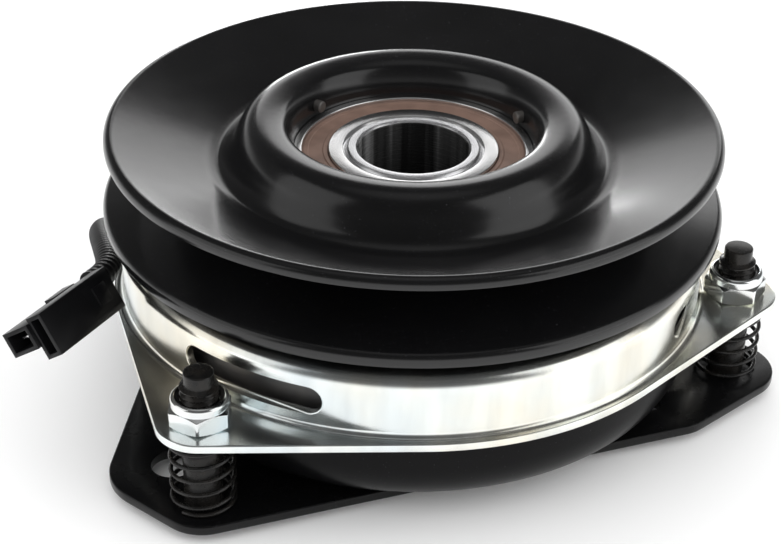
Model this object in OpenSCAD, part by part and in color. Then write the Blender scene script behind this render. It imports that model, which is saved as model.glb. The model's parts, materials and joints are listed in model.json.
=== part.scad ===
// Electromagnetic clutch-brake for a vertical engine shaft, seen with its belt pulley on top.
// The axis of the shaft is Z. The origin is the centre of the keyed bore in the hub's end face,
// which seats against the shoulder of the shaft. One adjusting stud lies on +X.

/* [Shaft] */
// Diameter of the bore that takes the engine's shaft
bore_d = 28.575; // [24:0.005:29]
// Width of the keyway
key_w = 6.35; // [4:0.05:7]
// Height of the whole hub stack, from the hub's end face to the pulley bearing's outer face
stack_h = 65; // [64:0.1:66]

/* [Pulley] */
// Outside diameter of the upper flange
upper_d = 158.2; // [157:0.1:159]
// Outside diameter of the lower flange
lower_d = 160.4; // [159:0.1:161]
// Slope of the upper flange's cone, in degrees
upper_slope = 21; // [20.5:0.1:21.5]
// Slope of the lower flange's cone, in degrees
lower_slope = 16; // [15.5:0.1:16.5]
// Thickness of the pulley's sheet metal
sheet_t = 3; // [2.8:0.1:3.1]

/* [Brake plate] */
// Outside diameter of the brake plate's wall
wall_d = 152.6; // [151:0.1:154]
// Diameter of the brake plate's rim between its corners
edge_d = 157.6; // [157:0.1:160]
// Thickness of the brake plate
plate_t = 2.2; // [2:0.1:2.6]
// Height of the top of the brake plate's rim
rim_z = 27.8; // [27:0.1:28.5]
// Height of the top of the brake plate
crown_z = 44.5; // [44:0.1:45]

/* [Field] */
// Outside diameter of the field shell
shell_d = 150.4; // [149:0.1:151]
// Outer radius of the field shell's lower edge
shell_edge_r = 14; // [12:0.5:15]
// Air gap between the armature and the rotor when the clutch is off
air_gap = 0.4; // [0.3:0.05:0.6]
// Thickness of the backing plate
backing_t = 2.6; // [2.4:0.1:3]

/* [Fasteners] */
// Diameter of the circle of the three adjusting studs
stud_circle_d = 171.6; // [171:0.1:174]
// Diameter of an adjusting stud
stud_d = 9.5; // [8:0.1:9.6]
// Width of an adjusting nut across its flats
nut_af = 14.3; // [13.5:0.1:15]
// Outside diameter of an adjusting spring
spring_d = 16.4; // [15:0.1:16.6]

/* [Lead] */
// Diameter of the sleeved lead
lead_d = 6.6; // [5:0.1:6.8]

/* [Hidden] */

$fn = 96;
eps = 0.01;
cut = 40;
gloss_black = [0.06, 0.06, 0.07];
matt_black = [0.12, 0.12, 0.13];
zinc = [0.82, 0.82, 0.76];
bright_steel = [0.75, 0.76, 0.78];
dark_steel = [0.35, 0.35, 0.37];
seal_brown = [0.33, 0.24, 0.19];

// Shaft and hub
bore_r = bore_d / 2;
key_r = bore_r + 3.2;
hub_r = 20;
hub_step_r = 23;
sleeve_r = 17.5;
sleeve_step_r = 21;
sleeve_top = stack_h + 0.2;
bore_chamfer = 0.7;

// Bearings: [bore radius, outside radius, width, pitch radius, inner land, outer land, seal seat, balls]
pulley_bearing = [17.5, 31, 14, 24.25, 22, 27, 28.8, 11];
field_bearing = [20, 34, 15, 27, 24.4, 29.8, 31.4, 12];
ball_r = 3.9;
raceway_r = 4.05;
pulley_bearing_z = stack_h - pulley_bearing[2];
field_bearing_z = 5.2;
seal_t = 1;
seal_depth = 0.7;
seal_seat_h = 2.2;

// Pulley
upper_r = upper_d / 2;
lower_r = lower_d / 2;
cup_r = pulley_bearing[1];
cup_wall_r = cup_r + sheet_t;
rim_edge_r = 1.9;
// The upper flange's cone starts at the foot of the hub and ends where its rim rounds over
cone_r = 54.5;
cone_z = stack_h - 0.85;
// The flat web where the two flanges are joined
web_z = 60.2;
web_in_r = 48.5;
web_out_r = 55.5;
carrier_z = 43;
carrier_r = 53;
stake_r = 1.6;
stake_reach = 1.6;
stake_z = stack_h + 2.6;
stake_angles = [30.5, 150.5, 270.5];

// Brake plate and armature
wall_r = wall_d / 2;
crown_in_r = 57;
crown_bend_r = 4;
foot_fillet = 1.7;
corner_r = 11;
pad_bottom = crown_z - plate_t - 2.4;
armature_top = pad_bottom - 0.1;
armature_bottom = armature_top - 4.1;
armature_r = 71.5;
armature_in_r = 36;
slot_h = 7;
slot_z = 35.3;
// Each feeler gauge slot: [first angle, last angle]
wall_slots = [[-130, -100.5], [-25.5, 4], [102, 131.5]];

// Rotor
face_z = armature_bottom - air_gap;
rotor_back_z = 28.6;
rotor_r = 71.3;
skirt_in_r = 66.3;
skirt_z = 16.5;
friction_in_r = 55.5;
friction_out_r = 60.5;
friction_t = 2;

// Field
shell_r = shell_d / 2;
shell_t = 2.8;
shell_floor_z = 4.2;
shell_top_z = 23.3;
shell_edge_z = shell_floor_z + shell_edge_r;
tube_r = 37;
tube_bottom_z = 2.4;
tube_top_z = 27.6;
bobbin_r = shell_r - shell_edge_r - 0.2;
backing_z = shell_floor_z - backing_t;
ring_z = 3.45;
ring_t = 1.6;
// The hole for the pin that keeps the backing plate from turning
anchor_at = [-53.2, -61.4];
anchor_r = 5.5;

// Studs, nuts and springs
stud_r = stud_d / 2;
stud_circle_r = stud_circle_d / 2;
stud_angles = [0, 120, 240];
stud_top = 41.5;
dog_h = 3.8;
dog_r = 3.7;
head_r = 7.2;
head_z = -1;
thread_pitch = 1.5875;
thread_depth = 0.8;
nut_bore_r = stud_r + 0.1;
nut_turns = [5.5, 20, 35.5];
nut_hex_h = 4.8;
nut_h = 7.2;
insert_r = 6;
insert_h = 1.9;
wire_r = 0.55;
spring_bottom = shell_floor_z;
spring_top = rim_z - plate_t;

// Leaf springs, from a rivet in the carrier to a rivet in the armature
leaf_pitch_r = 46;
leaf_span = 60;
leaf_w = 10;
leaf_t = 0.8;
leaf_end = 6;
rivet_r = 2.5;
rivet_head_r = 4;

// Lead: the middle line from the connector's back to the boot in the field shell
lead_route = [
    [-77.1, -38.5, 41], [-75.5, -33.8, 40.7], [-75.2, -28.6, 40.1], [-76.6, -22.8, 39.2],
    [-78.6, -16.9, 37.8], [-80.7, -10.7, 36], [-82.9, -4.2, 33.9], [-84.9, 2.5, 31.3],
    [-86.4, 9, 28.4], [-87.4, 15.3, 25.4], [-87.2, 21.3, 22.1], [-85.3, 26.6, 18.8],
    [-81.5, 30.4, 15.9], [-76.6, 32.5, 14.1], [-71.5, 33.2, 13.5]
];
boot_dir = [0.985, 0.13, -0.11];
boot_r = 3.6;
boot_len = 17;
conn_turn = -109.3;
conn_tilt = 3.9;
conn_roll = 33.6;
conn_w = 13.1;
conn_h = 11.2;
conn_len = 28;
conn_wall = 1;
conn_back = 12;
lead_rise = 2.9;
port_depth = 11;
// Each port: [low y, high y, low z, high z, front x]
ports = [
    [-conn_w / 2, conn_w / 2 - 4.7, -2, 4.4, conn_len + 1],
    [conn_w / 2 - 4.7, conn_w / 2, -conn_h / 2, conn_h / 2, conn_len]
];

// ---- helpers ----

// Points along an arc in the profile plane
function arc(cx, cz, r, a0, a1, n = 8) =
    [for (i = [0 : n]) let (a = a0 + (a1 - a0) * i / n) [cx + r * cos(a), cz + r * sin(a)]];

// One point of a smooth curve through four neighbours
function blend_point(a, b, c, d, t) =
    0.5 * (2 * b + (c - a) * t + (2 * a - 5 * b + 4 * c - d) * t * t
        + (3 * b - a - 3 * c + d) * t * t * t);

// A smooth curve through all the points, with n steps between neighbours
function smooth(p, n) = let (
    last = len(p) - 1,
    q = concat([2 * p[0] - p[1]], p, [2 * p[last] - p[last - 1]])
) concat(
    [for (i = [0 : last - 1]) for (k = [0 : n - 1]) blend_point(q[i], q[i + 1], q[i + 2], q[i + 3], k / n)],
    [p[last]]
);

function unit(v) = v / norm(v);

// A closed tube of the given radius along points in space
module swept_tube(points, r, sides) {
    last = len(points) - 1;
    tangents = [for (i = [0 : last]) unit(points[min(i + 1, last)] - points[max(i - 1, 0)])];
    rings = [for (i = [0 : last]) let (
        side = unit(cross(tangents[i], [0, 0, 1])),
        up = cross(side, tangents[i])
    ) for (k = [0 : sides - 1]) points[i] + r * (cos(360 * k / sides) * side + sin(360 * k / sides) * up)];
    walls = [for (i = [0 : last - 1]) for (k = [0 : sides - 1]) [
        i * sides + k, i * sides + (k + 1) % sides,
        (i + 1) * sides + (k + 1) % sides, (i + 1) * sides + k
    ]];
    first_cap = [for (k = [sides - 1 : -1 : 0]) k];
    last_cap = [for (k = [0 : sides - 1]) last * sides + k];
    polyhedron(rings, concat(walls, [first_cap], [last_cap]), convexity = 6);
}

module turned(points) {
    rotate_extrude() polygon(points);
}

module ring(r_in, r_out, z0, z1) {
    turned([[r_in, z0], [r_out, z0], [r_out, z1], [r_in, z1]]);
}

// A rectangular section turned through part of a circle
module sector(r_in, r_out, z0, z1, a0, a1) {
    rotate([0, 0, a0])
        rotate_extrude(angle = a1 - a0)
            translate([r_in, z0]) square([r_out - r_in, z1 - z0]);
}

module at_studs() {
    for (a = stud_angles)
        rotate([0, 0, a]) translate([stud_circle_r, 0, 0]) children();
}

// Turns its children so that their Z runs along a direction
module along(dir) {
    rotate([0, acos(dir[2] / norm(dir)), atan2(dir[1], dir[0])]) children();
}

// ---- bearings ----

module bearing_outer_race(b, z0) {
    z1 = z0 + b[2];
    difference() {
        turned([
            [b[6], z0], [b[1] - 0.4, z0], [b[1], z0 + 0.4], [b[1], z1 - 0.4], [b[1] - 0.4, z1], [b[6], z1],
            [b[6], z1 - seal_seat_h], [b[5], z1 - seal_seat_h], [b[5], z0 + seal_seat_h], [b[6], z0 + seal_seat_h]
        ]);
        raceway(b, z0);
    }
}

module bearing_inner_race(b, z0) {
    z1 = z0 + b[2];
    difference() {
        turned([
            [b[0] + 0.9, z0], [b[4], z0], [b[4], z1], [b[0] + 0.9, z1], [b[0], z1 - 0.9], [b[0], z0 + 0.9]
        ]);
        raceway(b, z0);
    }
}

module raceway(b, z0) {
    rotate_extrude() translate([b[3], z0 + b[2] / 2]) circle(r = raceway_r, $fn = 48);
}

module bearing_balls(b, z0, r) {
    for (i = [0 : b[7] - 1])
        rotate([0, 0, 360 * i / b[7]]) translate([b[3], 0, z0 + b[2] / 2]) sphere(r = r, $fn = 32);
}

module bearing_cage(b, z0) {
    mid = z0 + b[2] / 2;
    difference() {
        ring(b[3] - 1.1, b[3] + 1.1, mid - 4.9, mid + 4.9);
        bearing_balls(b, z0, raceway_r);
    }
}

module bearing_seal(b, z0) {
    ring(b[4] + 0.15, b[6], z0, z0 + seal_t);
}

// ---- pulley ----

// The upper flange has a raised hub round the bearing cup, a straight cone and a rounded rim
module upper_sheave() color(gloss_black) {
    slope = tan(upper_slope);
    drop = sheet_t / cos(upper_slope);
    rim_r = upper_r - rim_edge_r * (1 + sin(upper_slope));
    rim_z = cone_z + (rim_r - cone_r) * slope;
    edge_z = rim_z - rim_edge_r * cos(upper_slope);
    top = smooth([
        [cup_r, stack_h + 0.6], [cup_r + 0.4, stack_h + 3.5], [cup_r + 1.6, stack_h + 6.7],
        [cup_r + 3.2, stack_h + 8.3], [cup_r + 6, stack_h + 9.1], [cup_r + 9, stack_h + 9.2],
        [cup_r + 11.5, stack_h + 8.2], [44.6, stack_h + 5.8], [46.3, stack_h + 2.5], [48, stack_h - 0.3],
        [50, stack_h - 1.8], [52.2, stack_h - 1.7], [cone_r, cone_z]
    ], 4);
    rim = arc(upper_r - rim_edge_r, edge_z, rim_edge_r, 90 + upper_slope, 0, 8);
    inner = smooth([
        [web_in_r + 1, web_z], [46.5, 61.4], [44.9, 63.8], [43.3, 67], [41.6, 69.8], [39.2, 71.1],
        [37, 70.9], [35.1, 69.4], [cup_wall_r, 66]
    ], 3);
    flat_r = cone_r + (web_z + drop - cone_z) / slope;
    union() {
        turned(concat(
            [[cup_r, pulley_bearing_z]], top, rim,
            [[upper_r, edge_z - 0.7], [upper_r - 0.3, edge_z - 1], [rim_r, rim_z - drop], [flat_r, web_z]],
            inner, [[cup_wall_r, pulley_bearing_z]]
        ));
        for (a = stake_angles)
            rotate([0, 0, a]) bearing_stake();
    }
}

// A pin through the cup's wall that keeps the bearing from coming out
module bearing_stake() {
    translate([cup_r - stake_reach, 0, stake_z]) rotate([0, 90, 0])
        cylinder(r = stake_r, h = stake_reach + 1.8, $fn = 24);
}

// The lower flange is a cone with a rounded rim, and its flat web is joined to the upper flange
module lower_sheave() color(gloss_black) {
    slope = tan(lower_slope);
    drop = sheet_t / cos(lower_slope);
    rim_r = lower_r - rim_edge_r * (1 - sin(lower_slope));
    rim_z = web_z - (rim_r - web_out_r) * slope;
    edge_z = rim_z - rim_edge_r * cos(lower_slope);
    bottom_z = web_z - (lower_r - web_out_r) * slope - drop;
    turned(concat(
        [[web_in_r, web_z - sheet_t], [web_in_r, web_z], [web_out_r, web_z]],
        arc(lower_r - rim_edge_r, edge_z, rim_edge_r, 90 - lower_slope, 0, 8),
        [[lower_r, bottom_z + 0.3], [lower_r - 0.3, bottom_z + 0.05], [web_out_r - 0.5, web_z - sheet_t]]
    ));
}

// The ring that stiffens the bearing cup and carries the leaf springs
module spring_carrier() color(matt_black) {
    shoulder_r = pulley_bearing[6];
    difference() {
        turned([
            [shoulder_r, carrier_z], [carrier_r, carrier_z], [carrier_r, carrier_z + 3],
            [cup_wall_r + 3, carrier_z + 3], [cup_wall_r + 3, 60], [cup_wall_r, 60],
            [cup_wall_r, pulley_bearing_z], [shoulder_r, pulley_bearing_z]
        ]);
        at_leaf_ends(0) cylinder(r = rivet_r, h = cut);
    }
}

module at_leaf_ends(offset_angle) {
    for (i = [0 : 2])
        rotate([0, 0, 120 * i + offset_angle]) translate([leaf_pitch_r, 0, carrier_z - cut / 2]) children();
}

module carrier_rivets() color(dark_steel) {
    rise = cut / 2;
    at_leaf_ends(0) {
        translate([0, 0, rise - leaf_t - 1.1]) cylinder(r = rivet_head_r, h = 1.1);
        translate([0, 0, rise - leaf_t - eps]) cylinder(r = rivet_r, h = leaf_t + 3 + 2 * eps);
        translate([0, 0, rise + 3]) cylinder(r = rivet_head_r, h = 1.6);
    }
}

module pulley_bearing_outer_race() color(bright_steel)
    bearing_outer_race(pulley_bearing, pulley_bearing_z);

module pulley_bearing_inner_race() color(bright_steel)
    bearing_inner_race(pulley_bearing, pulley_bearing_z);

module pulley_bearing_balls() color(bright_steel)
    bearing_balls(pulley_bearing, pulley_bearing_z, ball_r);

module pulley_bearing_cage() color(dark_steel)
    bearing_cage(pulley_bearing, pulley_bearing_z);

module pulley_bearing_upper_seal() color(seal_brown)
    bearing_seal(pulley_bearing, stack_h - seal_depth - seal_t);

module pulley_bearing_lower_seal() color(seal_brown)
    bearing_seal(pulley_bearing, pulley_bearing_z + seal_depth);

module spacer_sleeve() color(bright_steel)
    turned([
        [bore_r, face_z - 2], [sleeve_step_r, face_z - 2], [sleeve_step_r, pulley_bearing_z],
        [sleeve_r, pulley_bearing_z], [sleeve_r, sleeve_top - 0.7], [sleeve_r - 0.7, sleeve_top],
        [bore_r + bore_chamfer, sleeve_top], [bore_r, sleeve_top - bore_chamfer]
    ]);

// ---- armature ----

module armature_plate() color(dark_steel)
    difference() {
        ring(armature_in_r, armature_r, armature_bottom, armature_top);
        at_leaf_ends(leaf_span) cylinder(r = rivet_r, h = cut);
    }

module armature_rivets() color(bright_steel) {
    rise = cut / 2 - carrier_z;
    at_leaf_ends(leaf_span) {
        translate([0, 0, rise + armature_bottom + 0.2])
            cylinder(r = rivet_r, h = armature_top + leaf_t - armature_bottom - 0.2 + eps);
        translate([0, 0, rise + armature_top + leaf_t]) cylinder(r = rivet_head_r, h = 1.4);
    }
}

// Each leaf steps down from the carrier to the armature along the chord between its rivets
module leaf_springs() color(bright_steel) {
    chord = 2 * leaf_pitch_r * sin(leaf_span / 2);
    high = carrier_z - leaf_t;
    low = armature_top;
    side = [
        [-leaf_end, high], [10, high], [chord - 10, low], [chord + leaf_end, low],
        [chord + leaf_end, low + leaf_t], [chord - 10, low + leaf_t], [10, high + leaf_t], [-leaf_end, high + leaf_t]
    ];
    for (i = [0 : 2])
        rotate([0, 0, 120 * i])
            translate([leaf_pitch_r, 0, 0])
                rotate([0, 0, 90 + leaf_span / 2])
                    difference() {
                        rotate([90, 0, 0])
                            linear_extrude(leaf_w, center = true) polygon(side);
                        for (x = [0, chord])
                            translate([x, 0, 30]) cylinder(r = rivet_r, h = cut);
                    }
}

// ---- rotor ----

module rotor() color(dark_steel)
    difference() {
        turned([
            [bore_r, 0], [hub_r, 0], [hub_r, ring_z - 0.05], [hub_r - 1.4, ring_z - 0.05],
            [hub_r - 1.4, ring_z + ring_t + 0.05], [hub_r, ring_z + ring_t + 0.05],
            [hub_r, field_bearing_z + field_bearing[2]], [hub_step_r, field_bearing_z + field_bearing[2]],
            [hub_step_r, rotor_back_z], [skirt_in_r, rotor_back_z], [skirt_in_r, skirt_z],
            [rotor_r, skirt_z], [rotor_r, face_z],
            [friction_out_r, face_z], [friction_out_r, face_z - friction_t],
            [friction_in_r, face_z - friction_t], [friction_in_r, face_z],
            [sleeve_step_r, face_z], [sleeve_step_r, face_z - 2], [bore_r, face_z - 2]
        ]);
        translate([0, -key_w / 2, -1]) cube([key_r, key_w, face_z]);
        for (i = [0 : 5])
            sector(49, 52.5, rotor_back_z - 1, face_z + 1, 60 * i + 8, 60 * i + 52);
    }

module rotor_friction_ring() color([0.30, 0.22, 0.16])
    ring(friction_in_r, friction_out_r, face_z - friction_t, face_z);

// Outside retaining ring that holds the hub in the field bearing
module hub_retaining_ring() color(dark_steel)
    sector(hub_r - 1.4, hub_r + 2.4, ring_z, ring_z + ring_t, 20, 340);

// ---- brake plate ----

module brake_plate() color(zinc)
    difference() {
        union() {
            turned(concat(
                arc(wall_r + foot_fillet, rim_z + foot_fillet, foot_fillet, 270, 180, 4),
                arc(wall_r - crown_bend_r, crown_z - crown_bend_r, crown_bend_r, 0, 90, 8),
                [[crown_in_r, crown_z], [crown_in_r, crown_z - plate_t]],
                arc(wall_r - crown_bend_r, crown_z - crown_bend_r, crown_bend_r - plate_t, 90, 0, 5),
                arc(wall_r + foot_fillet, rim_z + foot_fillet, foot_fillet + plate_t, 180, 270, 6)
            ));
            difference() {
                translate([0, 0, rim_z - plate_t]) linear_extrude(plate_t) brake_outline();
                cylinder(r = wall_r + foot_fillet - 0.6, h = cut);
            }
        }
        at_studs() cylinder(r = stud_r + 0.45, h = cut);
        for (s = wall_slots)
            wall_slot(s[0], s[1]);
    }

// The rim is round, with a corner at each stud that runs into it along straight tangents
module brake_outline() {
    edge_r = edge_d / 2;
    swing = acos((edge_r - corner_r) / stud_circle_r);
    polygon([for (a = stud_angles) each concat(
        arc(stud_circle_r * cos(a), stud_circle_r * sin(a), corner_r, a - swing, a + swing, 16),
        arc(0, 0, edge_r, a + swing, a + 120 - swing, 16)
    )]);
}

// A long window in the wall with round ends, a hair taller at its ends than along its length
module wall_slot(first, last) {
    end_r = slot_h / 2;
    half_h = end_r - 0.06;
    end_angle = atan(end_r / wall_r);
    sector(wall_r - 8, wall_r + 4, slot_z - half_h, slot_z + half_h, first + end_angle, last - end_angle);
    for (a = [first + end_angle, last - end_angle])
        rotate([0, 0, a]) translate([wall_r - 8, 0, slot_z]) rotate([0, 90, 0]) cylinder(r = end_r, h = 12, $fn = 48);
}

module brake_pads() color([0.25, 0.22, 0.2])
    for (a = [60, 180, 300])
        sector(60.5, 71, pad_bottom, crown_z - plate_t, a - 26, a + 26);

module adjusting_nuts() color(bright_steel)
    for (i = [0 : 2])
        rotate([0, 0, stud_angles[i]])
            translate([stud_circle_r, 0, rim_z])
                rotate([0, 0, nut_turns[i] - stud_angles[i]])
                    lock_nut();

module lock_nut() {
    hex_r = nut_af / 2 / cos(30);
    difference() {
        union() {
            intersection() {
                cylinder(r = hex_r, h = nut_hex_h, $fn = 6);
                turned([
                    [0, 0], [hex_r - 0.7, 0], [hex_r, 0.5], [hex_r, nut_hex_h - 0.6],
                    [nut_af / 2, nut_hex_h], [0, nut_hex_h]
                ]);
            }
            turned(concat(
                [[0, nut_hex_h - 0.5], [nut_af / 2 - 0.1, nut_hex_h - 0.5], [nut_af / 2 - 0.1, nut_h - 1]],
                arc(nut_af / 2 - 1.1, nut_h - 1, 1, 15, 90, 5),
                [[0, nut_h]]
            ));
        }
        translate([0, 0, -1]) cylinder(r = nut_bore_r, h = nut_h + 2);
        translate([0, 0, nut_h - insert_h - 0.4]) cylinder(r = insert_r, h = insert_h);
        translate([0, 0, nut_h - 1]) cylinder(r = insert_r - 0.3, h = 2);
    }
}

module nut_inserts() color(matt_black)
    at_studs() ring(nut_bore_r, insert_r, rim_z + nut_h - insert_h - 0.4, rim_z + nut_h - 0.4);

// ---- field ----

module field_shell() color(gloss_black) {
    lip_z = field_bearing_z + field_bearing[2];
    seat_r = field_bearing[1];
    difference() {
        turned(concat(
            [[shell_r, shell_top_z]],
            arc(shell_r - shell_edge_r, shell_edge_z, shell_edge_r, 0, -90, 12),
            [
                [tube_r, shell_floor_z], [tube_r, tube_bottom_z], [seat_r, tube_bottom_z],
                [seat_r, ring_z - 0.05], [seat_r + 1.4, ring_z - 0.05],
                [seat_r + 1.4, ring_z + ring_t + 0.05], [seat_r, ring_z + ring_t + 0.05],
                [seat_r, lip_z], [seat_r - 1.6, lip_z], [seat_r - 1.6, lip_z + 2], [seat_r, lip_z + 2],
                [seat_r, tube_top_z], [tube_r, tube_top_z], [tube_r, shell_floor_z + shell_t]
            ],
            arc(shell_r - shell_edge_r, shell_edge_z, shell_edge_r - shell_t, -90, 0, 10),
            [[shell_r - shell_t, shell_top_z]]
        ));
        lead_boot_body();
    }
}

module coil_bobbin() color([0.2, 0.2, 0.22]) {
    z0 = shell_floor_z + shell_t;
    turned([
        [tube_r, z0], [bobbin_r, z0], [bobbin_r, z0 + 1.8], [tube_r + 2, z0 + 1.8],
        [tube_r + 2, 25.2], [bobbin_r, 25.2], [bobbin_r, 27], [tube_r, 27]
    ]);
}

module coil_winding() color([0.72, 0.40, 0.20])
    ring(tube_r + 2, bobbin_r - 1, shell_floor_z + shell_t + 1.8, 25.2);

// Two wires from the boot to the winding, under the rotor's skirt
module coil_leads() color([0.6, 0.1, 0.1]) {
    start = lead_route[len(lead_route) - 1] + boot_len * boot_dir;
    for (dy = [-1.2, 1.2])
        translate(start + [0, dy, 0])
            along([-start[0], -start[1], 0]) cylinder(r = 0.9, h = norm([start[0], start[1]]) - bobbin_r + 1, $fn = 24);
}

module field_bearing_outer_race() color(bright_steel)
    bearing_outer_race(field_bearing, field_bearing_z);

module field_bearing_inner_race() color(bright_steel)
    bearing_inner_race(field_bearing, field_bearing_z);

module field_bearing_balls() color(bright_steel)
    bearing_balls(field_bearing, field_bearing_z, ball_r);

module field_bearing_cage() color(dark_steel)
    bearing_cage(field_bearing, field_bearing_z);

module field_bearing_upper_seal() color(seal_brown)
    bearing_seal(field_bearing, field_bearing_z + field_bearing[2] - seal_depth - seal_t);

module field_bearing_lower_seal() color(seal_brown)
    bearing_seal(field_bearing, field_bearing_z + seal_depth);

// Inside retaining ring that holds the field bearing in the shell
module bearing_retaining_ring() color(dark_steel)
    sector(field_bearing[1] - 2.4, field_bearing[1] + 1.4, ring_z, ring_z + ring_t, 200, 520);

module backing_plate() color(matt_black)
    difference() {
        translate([0, 0, backing_z]) linear_extrude(backing_t) backing_outline();
        translate([0, 0, -1]) cylinder(r = tube_r, h = cut);
        at_studs() cylinder(r = stud_r, h = cut);
        translate([anchor_at[0], anchor_at[1], -1]) cylinder(r = anchor_r, h = cut);
        translate([65.6, -20.8, -1]) cylinder(r = 2.4, h = cut);
    }

module backing_outline() {
    // Each corner: [x, y, radius]
    corners = [
        [stud_circle_r, 0, 12.9], [70, -19, 12],
        [-stud_circle_r / 2, -stud_circle_r * sin(60), 11.3], [-53.3, -62.4, 15.5],
        [-stud_circle_r / 2, stud_circle_r * sin(60), 11.3], [-53.3, 62.4, 15.5]
    ];
    hull()
        for (c = corners)
            translate([c[0], c[1]]) circle(r = c[2], $fn = 64);
}

module adjusting_studs() color(matt_black) {
    thread_z = 20;
    turns = floor((stud_top - dog_h - thread_z) / thread_pitch);
    thread = [for (i = [0 : turns - 1]) for (p = [
        [stud_r, thread_z + thread_pitch * i],
        [stud_r - thread_depth, thread_z + thread_pitch * (i + 0.5)]
    ]) p];
    shank_top = thread_z + thread_pitch * turns;
    at_studs()
        turned(concat(
            [[0, head_z], [head_r - 1, head_z], [head_r, head_z + 1], [head_r, backing_z], [stud_r, backing_z]],
            thread,
            [
                [stud_r, shank_top], [dog_r, shank_top + 0.6], [dog_r, stud_top - 0.5],
                [dog_r - 0.5, stud_top], [0, stud_top]
            ]
        ));
}

// Compression springs with closed end coils, around the studs
module adjusting_springs() color(matt_black) {
    turns = 6.25;
    steps = 16;
    dead = 0.9;
    coil_r = spring_d / 2 - wire_r;
    low = spring_bottom + wire_r;
    high = spring_top - wire_r;
    dead_rise = 1.5;
    count = turns * steps;
    at_studs()
        swept_tube([for (i = [0 : count]) let (
            u = i / steps,
            a = 360 * u,
            z = u < dead ? low + dead_rise * u / dead
                : u > turns - dead ? high - dead_rise * (turns - u) / dead
                : low + dead_rise + (high - low - 2 * dead_rise) * (u - dead) / (turns - 2 * dead)
        ) [coil_r * cos(a), coil_r * sin(a), z]], wire_r, 6);
}

// ---- lead and connector ----

module lead_boot_body() {
    start = lead_route[len(lead_route) - 1];
    translate(start) along(boot_dir) cylinder(r = boot_r, h = boot_len);
}

module lead_boot() color(matt_black) lead_boot_body();

module lead_cable() color(matt_black)
    swept_tube(smooth(lead_route, 2), lead_d / 2, 12);

// Puts its children on the connector: X towards the mating end, from its back face
module at_connector() {
    translate(lead_route[0])
        rotate([0, 0, conn_turn])
            rotate([0, -conn_tilt, 0])
                rotate([conn_roll, 0, 0]) translate([0, 0, -lead_rise]) children();
}

module block(y0, y1, z0, z1, x0, x1) {
    translate([x0, y0, z0]) cube([x1 - x0, y1 - y0, z1 - z0]);
}

module connector_housing() color(matt_black) at_connector()
    difference() {
        union() {
            block(-conn_w / 2, conn_w / 2, -3.6, 4.4, 0, conn_back);
            for (p = ports)
                block(p[0], p[1], p[2], p[3], 0, p[4]);
            block(conn_w / 2 - eps, conn_w / 2 + 0.5, -2.1, 2.9, 3.2, 8.2);
            block(-3.4, 0.6, 4.4 - eps, 5.6, 6, 14);
        }
        for (p = ports)
            block(p[0] + conn_wall, p[1] - conn_wall, p[2] + conn_wall, p[3] - conn_wall, p[4] - port_depth, p[4] + 1);
    }

// Two flat blades, one lying and one standing
module connector_terminals() color([0.8, 0.75, 0.6]) at_connector() {
    for (i = [0, 1]) {
        p = ports[i];
        y = (p[0] + p[1]) / 2;
        z = (p[2] + p[3]) / 2;
        dy = i == 0 ? 2.7 : 0.4;
        dz = i == 0 ? 0.4 : 3.15;
        block(y - dy, y + dy, z - dz, z + dz, p[4] - port_depth, p[4] - 3);
    }
}

upper_sheave();
lower_sheave();
spring_carrier();
carrier_rivets();
pulley_bearing_outer_race();
pulley_bearing_inner_race();
pulley_bearing_balls();
pulley_bearing_cage();
pulley_bearing_upper_seal();
pulley_bearing_lower_seal();
spacer_sleeve();
armature_plate();
leaf_springs();
armature_rivets();
rotor();
rotor_friction_ring();
hub_retaining_ring();
brake_plate();
brake_pads();
adjusting_nuts();
nut_inserts();
field_shell();
coil_bobbin();
coil_winding();
coil_leads();
field_bearing_outer_race();
field_bearing_inner_race();
field_bearing_balls();
field_bearing_cage();
field_bearing_upper_seal();
field_bearing_lower_seal();
bearing_retaining_ring();
backing_plate();
adjusting_studs();
adjusting_springs();
lead_boot();
lead_cable();
connector_housing();
connector_terminals();
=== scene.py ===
import json
import math

import bmesh
import bpy
import numpy as np
from mathutils import Matrix, Vector


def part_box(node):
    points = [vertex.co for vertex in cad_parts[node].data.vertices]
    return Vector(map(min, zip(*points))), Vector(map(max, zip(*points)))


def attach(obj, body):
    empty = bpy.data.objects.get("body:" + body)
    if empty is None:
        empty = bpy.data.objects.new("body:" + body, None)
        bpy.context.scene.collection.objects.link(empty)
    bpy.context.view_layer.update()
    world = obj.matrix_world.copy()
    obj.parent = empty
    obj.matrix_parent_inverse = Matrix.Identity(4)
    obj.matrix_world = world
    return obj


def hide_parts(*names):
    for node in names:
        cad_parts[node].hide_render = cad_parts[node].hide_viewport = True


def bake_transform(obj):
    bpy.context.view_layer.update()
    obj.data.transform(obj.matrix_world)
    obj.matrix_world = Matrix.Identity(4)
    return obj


# Looks for the electromagnetic clutch-brake. Sizes are in millimetres, and mesh_from() makes them metres.
# The axis of the shaft is Z, and one stud lies on +X.

MM = 0.001
TURN = 2 * math.pi
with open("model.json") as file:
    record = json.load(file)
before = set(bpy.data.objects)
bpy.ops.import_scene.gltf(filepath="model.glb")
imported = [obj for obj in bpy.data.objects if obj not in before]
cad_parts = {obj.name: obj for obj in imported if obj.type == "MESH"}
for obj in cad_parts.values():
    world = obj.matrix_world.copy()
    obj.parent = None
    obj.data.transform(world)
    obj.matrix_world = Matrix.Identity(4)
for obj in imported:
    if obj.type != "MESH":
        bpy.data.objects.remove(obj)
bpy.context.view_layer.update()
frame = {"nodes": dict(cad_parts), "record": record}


def low(node):
    """The lowest corner of a CAD node, in millimetres."""
    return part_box(node)[0] / MM


def high(node):
    """The highest corner of a CAD node, in millimetres."""
    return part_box(node)[1] / MM


# ---- sizes, from the frame where it has them ----

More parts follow.
